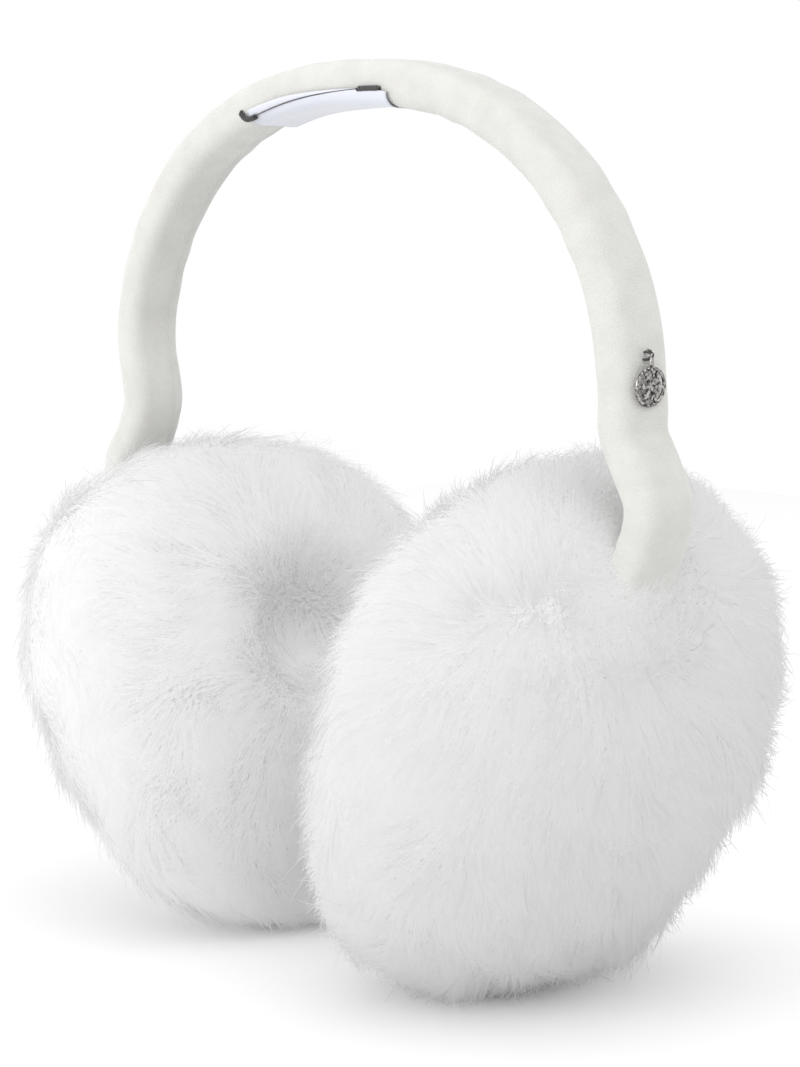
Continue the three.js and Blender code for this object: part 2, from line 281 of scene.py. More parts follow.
# %% Centreline
BAND_TOP = 222.5
BAND_FORWARD = 7.9
BAND_WIDTH = 15.4
BAND_THICKNESS = 10.6
ARCH_HALF_WIDTH = 96.5
ARCH_SPRING = 139.7
ARCH_ROUNDNESS = 2.24
RIGHT_LEG = [(97.0, 137.1), (99.2, 132.9), (102.6, 127.9), (104.9, 123.1), (104.5, 117.7),
             (102.0, 111.9), (98.0, 104.5), (92.4, 96.9), (85.6, 89.5)]
LEFT_LEG = [(94.9, 149.0), (92.9, 141.0), (92.4, 135.0), (94.0, 129.2), (97.6, 124.0),
            (101.6, 118.6), (102.4, 112.4), (98.6, 104.5), (92.4, 96.9), (85.6, 89.5)]


def signed_power(value, power):
    return np.sign(value) * np.abs(value) ** power


ARCH_STEPS, CLEAR_OF_LEG = 30, 5
POINTS_PER_SPAN = 12


def arch_point(angle):
    rise = BAND_TOP - BAND_THICKNESS / 2 - ARCH_SPRING
    out = ARCH_HALF_WIDTH * signed_power(np.cos(angle), 2 / ARCH_ROUNDNESS)
    return out, ARCH_SPRING + rise * abs(math.sin(angle)) ** (2 / ARCH_ROUNDNESS)


def centreline_knots():
    knots = [(-out, up) for out, up in reversed(LEFT_LEG)]
    for step in range(ARCH_STEPS + 1):
        out, up = arch_point(math.pi * (1 - step / ARCH_STEPS))
        if up > (LEFT_LEG if out < 0 else RIGHT_LEG)[0][1] + CLEAR_OF_LEG:
            knots.append((out, up))
    return np.array(knots + RIGHT_LEG)


def smooth_through(knots, per_span):
    """A centripetal Catmull-Rom curve through the knots, as rows."""
    first, last = 2 * knots[0] - knots[1], 2 * knots[-1] - knots[-2]
    all_knots = np.vstack([first, knots, last])
    rows = []
    for a, b, c, d in zip(all_knots, all_knots[1:], all_knots[2:], all_knots[3:]):
        t1 = np.sqrt(np.linalg.norm(b - a))
        t2 = t1 + np.sqrt(np.linalg.norm(c - b))
        t3 = t2 + np.sqrt(np.linalg.norm(d - c))
        for t in np.linspace(t1, t2, per_span, endpoint=False):
            ab = a + (b - a) * t / t1
            bc = b + (c - b) * (t - t1) / (t2 - t1)
            cd = c + (d - c) * (t - t2) / (t3 - t2)
            abc = ab + (bc - ab) * t / t2
            bcd = bc + (cd - bc) * (t - t1) / (t3 - t1)
            rows.append(abc + (bcd - abc) * (t - t1) / (t2 - t1))
    return np.array(rows + [knots[-1]])


line = smooth_through(centreline_knots(), POINTS_PER_SPAN)
line_run = np.r_[0, np.cumsum(np.linalg.norm(np.diff(line, axis=0), axis=1))]
BAND_LENGTH = line_run[-1]


def line_at(run):
    run = np.clip(run, 0, BAND_LENGTH)
    return np.stack([np.interp(run, line_run, line[:, k]) for k in (0, 1)], -1)


def along_line(run):
    """Place, tangent and outward normal of the centreline at a run from the left tail, in mm."""
    run = np.clip(run, 0, BAND_LENGTH)
    place = line_at(run)
    tangent = line_at(run + 1) - line_at(run - 1)
    tangent /= np.linalg.norm(tangent, axis=-1, keepdims=True)
    outward = np.stack([-tangent[..., 1], tangent[..., 0]], -1)
    return place, tangent, outward


def on_band(run, across, off):
    """Room position in metres; across is towards the back and off is away from the head."""
    place, _, outward = along_line(np.asarray(run, float))
    flat = place + outward * np.asarray(off, float)[..., None]
    across = np.broadcast_to(np.asarray(across, float), flat.shape[:-1])
    return np.stack([flat[..., 0], across - BAND_FORWARD, flat[..., 1]], -1) * MM


print("centreline", round(BAND_LENGTH, 1), "mm")

# %% [markdown]
# ## Velvet sleeve
# The real sleeve is sewn flat, turned and pulled over a sprung band with wadding. It could be a
# swept curve, but then its faces would be dead flat. Here it is modelled straight from a cube: the
# long edges are bevelled, rings are cut, and it is bent over the centreline. Cloth with a little
# pressure then crowns the faces, as the wadding does.

# %% Straight sleeve
SLEEVE_CORNER = 3.6
RINGS_FIRST, RINGS_SECOND = 47, 3
FACE_CUTS, SIDE_CUTS = 5, 2
LEAST_FACE_EDGE, LEAST_SIDE_EDGE, SAME_RING = 4, 2.5, 0.01
start_clean()
bpy.ops.mesh.primitive_cube_add(size=1, location=(0.5, 0, 0))
sleeve = bpy.context.object
sleeve.scale = (BAND_LENGTH, BAND_WIDTH, BAND_THICKNESS)
sleeve.location = (BAND_LENGTH / 2, 0, 0)
settle(sleeve)


def runs_along(a, b):
    return abs(a[0] - b[0]) > 1


edge_edit(sleeve, runs_along,
          lambda: bpy.ops.mesh.bevel(offset=SLEEVE_CORNER, segments=4, affect="EDGES", profile=0.5))
edge_edit(sleeve, runs_along, lambda: bpy.ops.mesh.subdivide(number_cuts=RINGS_FIRST))
edge_edit(sleeve, runs_along, lambda: bpy.ops.mesh.subdivide(number_cuts=RINGS_SECOND))
edge_edit(sleeve,
          lambda a, b: abs(a[0] - b[0]) < SAME_RING and abs(a[1] - b[1]) > LEAST_FACE_EDGE,
          lambda: bpy.ops.mesh.subdivide(number_cuts=FACE_CUTS))
edge_edit(sleeve,
          lambda a, b: abs(a[0] - b[0]) < SAME_RING and abs(a[2] - b[2]) > LEAST_SIDE_EDGE,
          lambda: bpy.ops.mesh.subdivide(number_cuts=SIDE_CUTS))
print("straight sleeve", len(sleeve.data.polygons), "faces")

# %% Bend it over the centreline
straight = points_of(sleeve).copy()
sleeve_run, sleeve_across, sleeve_off = straight.T
move_points(sleeve, on_band(sleeve_run, sleeve_across, sleeve_off))
face_outwards(sleeve)
print("bent sleeve box", [round(v / MM, 1) for v in sleeve.dimensions])

# %% [markdown]
# ### Wadding
# Cloth with pressure from inside swells the faces between the corners. A point may move only a
# little, so that the sleeve keeps its size.

# %% Swell
MOST_SWELL = 0.55
CLOTH_FRAMES = 20
before_swell = points_of(sleeve).copy()
only(sleeve)
cloth = sleeve.modifiers.new("wadding", "CLOTH")
cloth.settings.use_pressure = True
cloth.settings.uniform_pressure_force = 4
cloth.settings.quality = 5
cloth.settings.mass = 0.05
cloth.settings.tension_stiffness = 12
cloth.settings.compression_stiffness = 12
cloth.settings.bending_stiffness = 0.4
cloth.settings.effector_weights.gravity = 0
cloth.point_cache.frame_start = 1
cloth.point_cache.frame_end = CLOTH_FRAMES
for moment in range(1, CLOTH_FRAMES + 1):
    bpy.context.scene.frame_set(moment)
bpy.ops.object.modifier_apply(modifier="wadding")
bpy.context.scene.frame_set(1)
swollen = points_of(sleeve)
shift = swollen - before_swell
length = np.linalg.norm(shift, axis=1, keepdims=True)
shift *= np.minimum(1, MOST_SWELL * MM / np.maximum(length, 1e-9))
print("swell in mm, mean and most:", (length.mean() / MM).round(2), (length.max() / MM).round(2))
move_points(sleeve, before_swell + shift)

# %% [markdown]
# ### Seam and ripples
# The sleeve is closed by a seam on the side of the head, nearer to the back. It shows as a soft
# groove. Where a leg kinks, the velvet on its hollow side is pushed together in faint ripples. Each
# point is moved straight in or out, because so small a form needs no second simulation.

# %% Seam and ripples
SEAM_ACROSS, SEAM_WIDTH, SEAM_DEPTH = 4.2, 0.9, 0.7
KINKS = [(24, 1), (42, -1), (BAND_LENGTH - 27, -1), (BAND_LENGTH - 42, 1)]
RIPPLE_REACH, RIPPLE_DEPTH, RIPPLE_PITCH = 7, 0.28, 4.4
UNEVEN_DEPTH = 0.12
only(sleeve)
subdivide = sleeve.modifiers.new("rounder", "SUBSURF")
subdivide.levels = subdivide.render_levels = 1
bpy.ops.object.modifier_apply(modifier="rounder")
fine = points_of(sleeve).copy()
line_tree = kdtree.KDTree(len(line))
for index, (out, up) in enumerate(line):
    line_tree.insert((out, up, 0), index)
line_tree.balance()


def band_frame(points):
    """Run, across, off and distance from the centreline, in mm, of room points in metres."""
    points = np.asarray(points) / MM
    nearest = np.array([line_tree.find((p[0], p[2], 0))[1] for p in points])
    run = line_run[nearest]
    place, tangent, outward = along_line(run)
    offset = points[:, [0, 2]] - place
    return (run + (offset * tangent).sum(1), points[:, 1] + BAND_FORWARD,
            (offset * outward).sum(1), np.linalg.norm(offset, axis=1))


fine_run, fine_across, fine_off, _ = band_frame(fine)
dip = np.zeros(len(fine))
inner_face = fine_off < -BAND_THICKNESS / 2 + 1.5
dip -= SEAM_DEPTH * inner_face * np.exp(-((fine_across - SEAM_ACROSS) / SEAM_WIDTH) ** 2)
for kink_run, side in KINKS:
    near = np.exp(-((fine_run - kink_run) / RIPPLE_REACH) ** 2)
    hollow_side = (side * fine_off > 0) * (np.abs(fine_off) / 5).clip(0, 1)
    ripple = 0.5 + 0.5 * np.cos(2 * np.pi * (fine_run - kink_run) / RIPPLE_PITCH)
    dip -= RIPPLE_DEPTH * near * hollow_side * ripple
dip += UNEVEN_DEPTH * np.sin(fine_run / 3.1 + np.sin(fine_run / 7.7) * 2 + fine_across / 6)
middle = np.stack([fine_across / BAND_WIDTH, fine_off / BAND_THICKNESS], 1)
middle /= np.maximum(np.linalg.norm(middle, axis=1, keepdims=True), 1e-6)
move_points(sleeve, on_band(fine_run, fine_across + middle[:, 0] * dip,
                            fine_off + middle[:, 1] * dip))
only(sleeve)
bpy.ops.object.shade_smooth()
finish_piece(sleeve, "velvet_sleeve", velvet, ["headband"])

# %% [markdown]
# ## Form of the fur cups
# Each cup is an egg-shaped disc that leans outwards at its top. Its inner face is hollowed for the
# ear; its outer face swells round the foot of the band and is parted in front of it. A point of the
# surface is found from a direction out of the cup's middle, which has no trouble at the poles.

# %% Cup form
RIM_ROUNDNESS, PROFILE_ROUNDNESS = 2.2, 1.97
HOLLOW_RADIUS, HOLLOW_DEPTH, HOLLOW_DROP = 30, 17, 4
FOOT, FOOT_REACH, FOOT_SWELL = np.array([-8.0, 49.0]), 22, 5
PARTING_START, PARTING_WHORL = np.array([-20.0, 46.0]), np.array([-40.0, 39.0])
PARTING_REACH, PARTING_DEPTH = 12, 3
# The last number of each cup scales its fur's colour: it is painted light, which makes the left
# cup's fur lighter than the right's.
CUPS = {
    "right": dict(side=1, out=56.3, back=-0.9, height=70.4, lean=21.8, above=62.7, below=76.2,
                  front=57.1, rear=66.5, outer=48.0, inner=35.7, painted_light=0.5),
    "left": dict(side=-1, out=59.2, back=1.4, height=68.7, lean=24.9, above=59.9, below=74.5,
                 front=66.6, rear=64.8, outer=39.0, inner=36.7, painted_light=0.8),
}


def dent(share):
    return np.where(share < 1, 0.5 + 0.5 * np.cos(np.pi * np.minimum(share, 1)), 0)


def to_room(cup, axial, depth, rise):
    lean = math.radians(cup["lean"])
    x = cup["out"] + axial * math.cos(lean) + rise * math.sin(lean)
    z = cup["height"] - axial * math.sin(lean) + rise * math.cos(lean)
    return np.stack([cup["side"] * x, cup["back"] + depth + 0 * x, z], -1) * MM


def cup_surface(cup, heading, sunk):
    """Point of a cup, sunk mm below the tips. A heading is a unit row: rise, depth, axial."""
    latitude = np.arcsin(np.clip(heading[:, 2], -1, 1))
    longitude = np.arctan2(heading[:, 1], heading[:, 0])
    narrow = np.abs(np.cos(latitude)) ** (2 / PROFILE_ROUNDNESS)
    turn_up = signed_power(np.cos(longitude), 2 / RIM_ROUNDNESS)
    turn_back = signed_power(np.sin(longitude), 2 / RIM_ROUNDNESS)
    rise = (np.where(turn_up > 0, cup["above"], cup["below"]) - sunk) * turn_up * narrow
    depth = (np.where(turn_back > 0, cup["rear"], cup["front"]) - sunk) * turn_back * narrow
    bulge = np.where(latitude > 0, cup["outer"], cup["inner"]) - sunk
    axial = bulge * signed_power(np.sin(latitude), 2 / PROFILE_ROUNDNESS)
    spot = np.stack([depth, rise], -1)
    along = PARTING_WHORL - PARTING_START
    share = np.clip((spot - PARTING_START) @ along / (along @ along), 0, 1)
    off_parting = np.linalg.norm(spot - PARTING_START - share[:, None] * along, axis=1)
    outside = latitude > 0
    axial += outside * FOOT_SWELL * dent(np.linalg.norm(spot - FOOT, axis=1) / FOOT_REACH)
    axial -= outside * PARTING_DEPTH * dent(off_parting / PARTING_REACH)
    axial += ~outside * HOLLOW_DEPTH * dent(np.hypot(depth, rise + HOLLOW_DROP) / HOLLOW_RADIUS)
    return to_room(cup, axial, depth, rise)


def unit(rows):
    return rows / np.maximum(np.linalg.norm(rows, axis=-1, keepdims=True), 1e-12)


def heading_frame(heading):
    """Two unit rows square to each heading and to each other."""
    helper = np.where(np.abs(heading[:, 2:3]) < 0.9, [[0.0, 0.0, 1.0]], [[1.0, 0.0, 0.0]])
    first = unit(np.cross(helper, heading))
    return first, np.cross(heading, first)


SMALL_TURN = 0.004


def surface_frame(cup, heading, sunk):
    """Place, outward normal, two heading steps and how the surface runs along each, per radian."""
    first, second = heading_frame(heading)
    place = cup_surface(cup, heading, sunk)
    run_first = (cup_surface(cup, unit(heading + SMALL_TURN * first), sunk) - place) / SMALL_TURN
    run_second = (cup_surface(cup, unit(heading + SMALL_TURN * second), sunk) - place) / SMALL_TURN
    normal = unit(np.cross(run_first, run_second))
    middle = to_room(cup, np.zeros(1), np.zeros(1), np.zeros(1))
    normal *= np.sign(((place - middle) * normal).sum(1, keepdims=True))
    return place, normal, first, second, run_first, run_second


def waves(points, size, seed):
    """Smooth noise between about -1 and 1 whose bumps are size mm across."""
    draw = np.random.default_rng(seed)
    total = np.zeros(len(points))
    for _ in range(7):
        way = unit(draw.normal(size=3)) * draw.uniform(0.7, 1.4) * 2 * np.pi / (2 * size * MM)
        total += np.sin(points @ way + draw.uniform(0, 2 * np.pi))
    return total / 3.2


# %% [markdown]
# ## Wool bodies
# Under the long hairs there is a dense body that light hardly gets through. A sphere is drawn out
# to the cup's form and roughened. It stands for the cup's solid, and it is pressed flat where the
# cup rests.

# %% Wool bodies
WOOL_SUNK, WOOL_WAVE, WOOL_FLOOR = 2.6, 0.7, 0.2
for word, cup in CUPS.items():
    start_clean()
    bpy.ops.mesh.primitive_uv_sphere_add(segments=72, ring_count=48, radius=1)
    body = bpy.context.object
    heading = unit(points_of(body))
    place, normal, *_ = surface_frame(cup, heading, WOOL_SUNK)
    place = place + normal * (waves(place, 9, 3) * WOOL_WAVE * MM)[:, None]
    place[:, 2] = np.maximum(place[:, 2], WOOL_FLOOR * MM)
    move_points(body, place)
    face_outwards(body)
    bpy.ops.object.shade_smooth()
    finish_piece(body, f"{word}_cup_wool", wool, [f"{word}_ear_cup"])

# %% [markdown]
# ## Fur
# A hair system can't be exported, so each strand is a narrow tapered ribbon of five triangles, and
# all strands of a layer are one mesh. A strand leaves the wool, rises and lies over along the
# flow: outside it runs away from the line between the band's foot and the whorl, and inside away
# from the hollow. Strands near each other lean to one tip, which makes soft locks. Their normals
# are nearly those of the cup and they cast no shadow, because light seeps through real fur where
# hard ribbons would shade each other. The wool body under them still stops the light.


# %% Flow of the fur
SOURCES, SOURCE_CORE = 6, 4
OUTSIDE_FROM, OUTSIDE_WIDTH = -0.75, 0.5
CALM_REACH, CALM_LEAST = 16, 0.75


def across_normal(rows, normal):
    return rows - normal * (rows * normal).sum(1, keepdims=True)


def flow_sources(cup):
    """Points of the outer face from the band's foot to the whorl, which the fur runs away from."""
    turn, climb = np.meshgrid(np.linspace(-np.pi, np.pi, 240), np.linspace(0.05, 1.5, 120))
    level = np.cos(climb)
    heading = np.stack([level * np.cos(turn), level * np.sin(turn), np.sin(climb)], -1)
    place = cup_surface(cup, heading.reshape(-1, 3), 0.0)
    lean = math.radians(cup["lean"])
    out = (cup["side"] * place[:, 0] / MM - cup["out"]) * math.sin(lean)
    rise = out + (place[:, 2] / MM - cup["height"]) * math.cos(lean)
    depth = place[:, 1] / MM - cup["back"]
    spots = [FOOT + (PARTING_WHORL - FOOT) * share for share in np.linspace(0, 1, SOURCES)]
    return [place[np.hypot(depth - spot[0], rise - spot[1]).argmin()] for spot in spots]


def flow_of(cup, place, normal, heading):
    """The way the fur lies at each point, and how far the strands are shortened near a source."""
    away = np.zeros_like(place)
    nearest = np.full(len(place), 1.0)
    for source in flow_sources(cup):
        gap = across_normal(place - source, normal)
        nearest = np.minimum(nearest, np.linalg.norm(place - source, axis=1))
        away += gap / (np.linalg.norm(gap, axis=1, keepdims=True) ** 3 + (SOURCE_CORE * MM) ** 3)
    away = unit(away)
    hollow = to_room(cup, np.array([-float(cup["inner"])]), np.zeros(1),
                     np.array([-float(HOLLOW_DROP)]))
    spread = unit(across_normal(place - hollow, normal))
    outside = np.clip((np.arcsin(heading[:, 2]) - OUTSIDE_FROM) / OUTSIDE_WIDTH, 0, 1)[:, None]
    outside = outside * outside * (3 - 2 * outside)
    flow = unit(spread * (1 - outside) + away * outside)
    swirl = 0.55 * waves(place, 16, 11) + 0.3 * waves(place, 6, 12)
    flow = flow * np.cos(swirl)[:, None] + np.cross(normal, flow) * np.sin(swirl)[:, None]
    return flow, np.clip(nearest / (CALM_REACH * MM), CALM_LEAST, 1)


def let_light_through(piece):
    """Hides strands from shadow and diffuse rays, so that they neither shade nor tint a thing."""
    piece.visible_shadow = False
    piece.visible_diffuse = False


# %% Strands into one mesh
STRAND_STEPS = (0.0, 0.4, 0.75, 1.0)
# Painted shade along a strand from root to tip: darkest at the root, where little light gets deep
# in the fur.
STRAND_PAINTED_SHADE = np.array([0.62, 0.86, 0.95, 1.0])
STRAND_TAPER = np.array([1.0, 0.85, 0.55])
CUP_NORMAL, OWN_NORMAL = 0.97, 0.03
MOST_ROLL = 1.2


def strand_tones(cup, count, draw):
    """Colour of each strand at each step: painted shade darkens it towards the root, the cup's
    painted light scales it, and a random tone makes some strands paler as a whole.
    """
    return cup["painted_light"] * draw.uniform(0.8, 1.0, count)[:, None] * STRAND_PAINTED_SHADE[None]


def strand_mesh(name, rows, normals, widths, shade, roll_most, draw):
    """rows are strands by steps by 3. Each strand becomes a ribbon that tapers to a point."""
    count = len(rows)
    tangents = unit(np.gradient(rows, axis=1))
    side = unit(np.cross(tangents, normals))
    roll = np.clip(draw.normal(0, roll_most, count), -MOST_ROLL, MOST_ROLL)[:, None, None]
    side = side * np.cos(roll) + unit(np.cross(side, tangents)) * np.sin(roll)
    half = side[:, :3] * STRAND_TAPER[None, :, None] * widths[:, None, None] / 2
    pairs = np.stack([rows[:, :3] - half, rows[:, :3] + half], 2)
    points = np.concatenate([pairs.reshape(count, 6, 3), rows[:, 3:]], 1)
    first = np.arange(count)[:, None] * 7
    quads = np.array([0, 1, 3, 2, 2, 3, 5, 4, 4, 5, 6])[None] + first
    mesh = bpy.data.meshes.new(name)
    mesh.vertices.add(count * 7)
    mesh.vertices.foreach_set("co", points.ravel())
    mesh.loops.add(count * 11)
    mesh.loops.foreach_set("vertex_index", quads.ravel())
    mesh.polygons.add(count * 3)
    starts = np.array([0, 4, 8])[None] + np.arange(count)[:, None] * 11
    mesh.polygons.foreach_set("loop_start", starts.ravel())
    mesh.update(calc_edges=True)
    mesh.polygons.foreach_set("use_smooth", np.ones(count * 3, bool))
    own = unit(np.cross(side, tangents))
    own *= np.sign((own * normals).sum(-1, keepdims=True) + 1e-9)
    soft = unit(CUP_NORMAL * normals + OWN_NORMAL * own)
    soft = np.concatenate([np.repeat(soft[:, :3], 2, axis=1), soft[:, 3:]], 1).reshape(-1, 3)
    mesh.normals_split_custom_set_from_vertices(soft)
    layer = mesh.attributes.new("shade", "FLOAT", "POINT")
    tone = np.concatenate([np.repeat(shade[:, :3], 2, axis=1), shade[:, 3:]], 1)
    layer.data.foreach_set("value", tone.astype(np.float32).ravel())
    piece = bpy.data.objects.new(name, mesh)
    bpy.context.scene.collection.objects.link(piece)
    return piece


# %% Comb one layer of a cup
BAND_CLEAR, SLEEVE_REACH = 0.5, 12
SURFACE_SUNK = 2.0
CROWD_MORE, CROWD_REACH = 2.2, 9
FLOW_SCATTER = 0.22
LOCK_AT, LOCK_SCATTER = 0.35, 0.15
CURL = 1.6


def near_band(rows):
    """Which points lie inside the sleeve, with a little clear room."""
    _, across, off, distance = band_frame(rows.reshape(-1, 3))
    inside = np.abs(across) < BAND_WIDTH / 2 + BAND_CLEAR
    inside &= np.abs(off) < BAND_THICKNESS / 2 + BAND_CLEAR
    inside &= distance < SLEEVE_REACH
    return inside.reshape(rows.shape[:-1])


def pick_headings(cup, count, draw):
    """Headings spread evenly over the cup's surface, and closer where the fur parts."""
    many = unit(draw.normal(size=(count * 3, 3)))
    place, _, _, _, run_first, run_second = surface_frame(cup, many, SURFACE_SUNK)
    area = np.linalg.norm(np.cross(run_first, run_second), axis=1)
    chance = np.minimum(area, np.quantile(area, 0.995))
    gaps = [np.linalg.norm(place - source, axis=1) for source in flow_sources(cup)]
    chance *= 1 + CROWD_MORE * np.exp(-(np.min(gaps, axis=0) / (CROWD_REACH * MM)) ** 2)
    return many[draw.choice(len(many), count, replace=False, p=chance / chance.sum())]


def heading_step(flow, reach, first, second, run_first, run_second):
    """The change of heading that moves a point by reach metres along the flow."""
    a = (run_first * run_first).sum(1)
    b = (run_first * run_second).sum(1)
    c = (run_second * run_second).sum(1)
    p, q = (flow * run_first).sum(1) * reach, (flow * run_second).sum(1) * reach
    det = np.maximum(a * c - b * b, 1e-12)
    step = first * ((c * p - b * q) / det)[:, None]
    step += second * ((a * q - b * p) / det)[:, None]
    size = np.linalg.norm(step, axis=1, keepdims=True)
    return step * np.minimum(1, 0.6 / np.maximum(size, 1e-9))


def comb(cup, name, count, seed, reach, tip_sunk, root_sunk, lock_size, lock_pull, width, wild,
         uneven, roll):
    """One layer of strands over a whole cup; sizes are in mm."""
    draw = np.random.default_rng(seed)
    heading = pick_headings(cup, count, draw)
    place, normal, first, second, run_first, run_second = surface_frame(cup, heading, SURFACE_SUNK)
    flow, calm = flow_of(cup, place, normal, heading)
    flow = unit(flow + FLOW_SCATTER * across_normal(draw.normal(size=flow.shape), normal))
    long = reach * calm * draw.uniform(0.65, 1.2, count) * (1 + 0.18 * waves(place, 14, 21))
    step = heading_step(flow, long * MM, first, second, run_first, run_second)

    lock_count = int(count / lock_size)
    leaders = draw.choice(count, lock_count, replace=False)
    tree = kdtree.KDTree(lock_count)
    for index, leader in enumerate(leaders):
        tree.insert(heading[leader] + LOCK_AT * step[leader], index)
    tree.balance()
    lock = np.array([tree.find(row)[1] for row in heading + LOCK_AT * step])
    leader = leaders[lock]
    pull = np.clip(draw.normal(lock_pull, LOCK_SCATTER, count), 0, 0.95)[:, None]
    lock_tip = heading[leader] + step[leader]

    tip = tip_sunk + draw.normal(0, uneven, count)
    tip = tip - 1.1 * waves(place, 7, 31) - 1.5 * waves(place, 20, 32)
    stray = draw.random(count) < wild
    tip = np.where(stray, tip - draw.uniform(1, 4, count), tip)
    rows, normals = [], []
    for t in STRAND_STEPS:
        along = heading + step * t
        along = along + (lock_tip - along) * pull * t ** CURL
        sunk = root_sunk + (tip - root_sunk) * (1 - (1 - t) ** CURL)
        spot, out, *_ = surface_frame(cup, unit(along), 0.0)
        rows.append(spot - out * (sunk * MM)[:, None])
        normals.append(out)
    rows, normals = np.stack(rows, 1), np.stack(normals, 1)
    floor = draw.uniform(0.15, 1.3, count)[:, None] * MM
    pressed = rows[:, :, 2] < floor
    rows[:, :, 2] = np.where(pressed, floor + 0.15 * np.maximum(rows[:, :, 2], 0), rows[:, :, 2])
    keep = ~near_band(rows[:, 2:]).any(1)
    tone = strand_tones(cup, count, draw)
    widths = width * MM * draw.uniform(0.7, 1.3, count)
    piece = strand_mesh(name, rows[keep], normals[keep], widths[keep], tone[keep], roll, draw)
    let_light_through(piece)
    finish_piece(piece, name, fur)


# %% Comb both cups
LAYERS = [
    dict(word="deep", count=23000, seed=1, reach=12, tip_sunk=1.2, root_sunk=3.6, lock_size=14,
         lock_pull=0.0, width=0.4, wild=0.0, uneven=0.4, roll=0.2),
    dict(word="middle", count=27500, seed=2, reach=14, tip_sunk=0.0, root_sunk=3.4, lock_size=22,
         lock_pull=0.12, width=0.26, wild=0.0, uneven=0.5, roll=0.3),
    dict(word="top", count=30500, seed=3, reach=15, tip_sunk=-1.3, root_sunk=3.0, lock_size=26,
         lock_pull=0.16, width=0.17, wild=0.04, uneven=0.9, roll=0.5),
]
for side_index, (word, cup) in enumerate(CUPS.items()):
    for layer in LAYERS:
        sizes = {key: value for key, value in layer.items() if key not in ("word", "seed")}
        comb(cup, f"{word}_fur_{layer['word']}", seed=layer["seed"] + 10 * side_index, **sizes)

# %% [markdown]
# ### Hairs over the foot of the band
# Round the foot the fur closes over the velvet from both sides, so that the sleeve seems to grow
# out of it. These strands start in a collar beside the sleeve, rise and lean towards it. A point
# that would lie in the velvet is moved out of it, and a strand that this bends too far is left out.


# %% Hairs over the foot
FOOT_HAIRS, FOOT_CANDIDATES = 6500, 60000
COLLAR_FROM, COLLAR_TO, COLLAR_REACH = 0.4, 12, 26
MOST_BENT = 2.2


def foot_hairs(cup, word, seed):
    """The collar of hairs round the foot of the band in one cup."""
    draw = np.random.default_rng(seed)
    heading = pick_headings(cup, FOOT_CANDIDATES, draw)
    heading = heading[heading[:, 2] > 0]
    place, normal, *_ = surface_frame(cup, heading, WOOL_SUNK)
    run, across, off, distance = band_frame(place)
    gap = np.hypot(np.maximum(np.abs(across) - BAND_WIDTH / 2, 0),
                   np.maximum(np.abs(off) - BAND_THICKNESS / 2, 0))
    in_collar = (gap > COLLAR_FROM) & (gap < COLLAR_TO) & (distance < COLLAR_REACH)
    chosen = np.flatnonzero(in_collar)
    chosen = draw.choice(chosen, min(FOOT_HAIRS, len(chosen)), replace=False)
    place, normal, across, off = place[chosen], normal[chosen], across[chosen], off[chosen]
    count = len(chosen)
    _, _, outward = along_line(run[chosen])
    to_band = np.stack([-outward[:, 0] * off, -across, -outward[:, 1] * off], 1)
    to_band = unit(across_normal(to_band, normal))
    fan = across_normal(draw.normal(size=place.shape), normal)
    way = unit(0.8 * normal + 0.75 * to_band + 0.32 * fan)
    reach = (draw.uniform(4.5, 9.5, count) + 0.45 * gap[chosen])[:, None] * MM
    lie = unit(to_band + 0.5 * fan)
    rows = [place + reach * (way * t + 0.28 * (lie - normal) * t * t) for t in STRAND_STEPS]
    wanted = np.stack(rows, 1)
    rows = clear_of_band(wanted, draw)
    smooth = np.linalg.norm(rows - wanted, axis=2).max(1) < MOST_BENT * MM
    rows, normal, count = rows[smooth], normal[smooth], int(smooth.sum())
    tone = strand_tones(cup, count, draw)
    normals = np.repeat(normal[:, None], len(STRAND_STEPS), axis=1)
    widths = draw.uniform(0.11, 0.2, count) * MM
    piece = strand_mesh("foot", rows, normals, widths, tone, 0.5, draw)
    let_light_through(piece)
    finish_piece(piece, f"{word}_foot_hairs", fur)


def clear_of_band(rows, draw):
    """Moves points that lie in the sleeve out through its nearer face."""
    run, across, off, distance = band_frame(rows.reshape(-1, 3))
    room_across = BAND_WIDTH / 2 + draw.uniform(0.3, 1.4, len(run))
    room_off = BAND_THICKNESS / 2 + draw.uniform(0.5, 1.6, len(run))
    inside = (np.abs(across) < room_across) & (np.abs(off) < room_off)
    inside &= distance < SLEEVE_REACH
    over = room_off - off < room_across - np.abs(across)
    across = np.where(inside & ~over, np.sign(across) * room_across, across)
    off = np.where(inside & over, room_off, off)
    moved = on_band(run, across, off)
    return np.where(inside[:, None], moved, rows.reshape(-1, 3)).reshape(rows.shape)


for word, cup in CUPS.items():
    foot_hairs(cup, word, 40 + cup["side"])

# %% [markdown]
# ## Satin label
# The label is a bare strip of satin on the side of the head, off centre to the left, and its front
# edge is wrapped round the sleeve's corner. A flat grid is bent round the sleeve and given its
# thickness.

# %% Label
LABEL_LEFT, LABEL_RIGHT, BAR_AT = -36, 20.5, 12.5
LABEL_FRONT, LABEL_BACK = -9.8, 6.2
LABEL_OFF = BAND_THICKNESS / 2 + 0.55
LABEL_CORNER, CORNER_LIFT, WRAP_TURN = 3.2, 0.7, 1.05
LABEL_RIPPLE = 0.12
SATIN_THICKNESS = 0.25
OVER_HEAD = slice(10 * POINTS_PER_SPAN, -8 * POINTS_PER_SPAN)


def run_at(x):
    """Run along the centreline at which the arch passes x."""
    return float(np.interp(x, line[OVER_HEAD, 0], line_run[OVER_HEAD]))


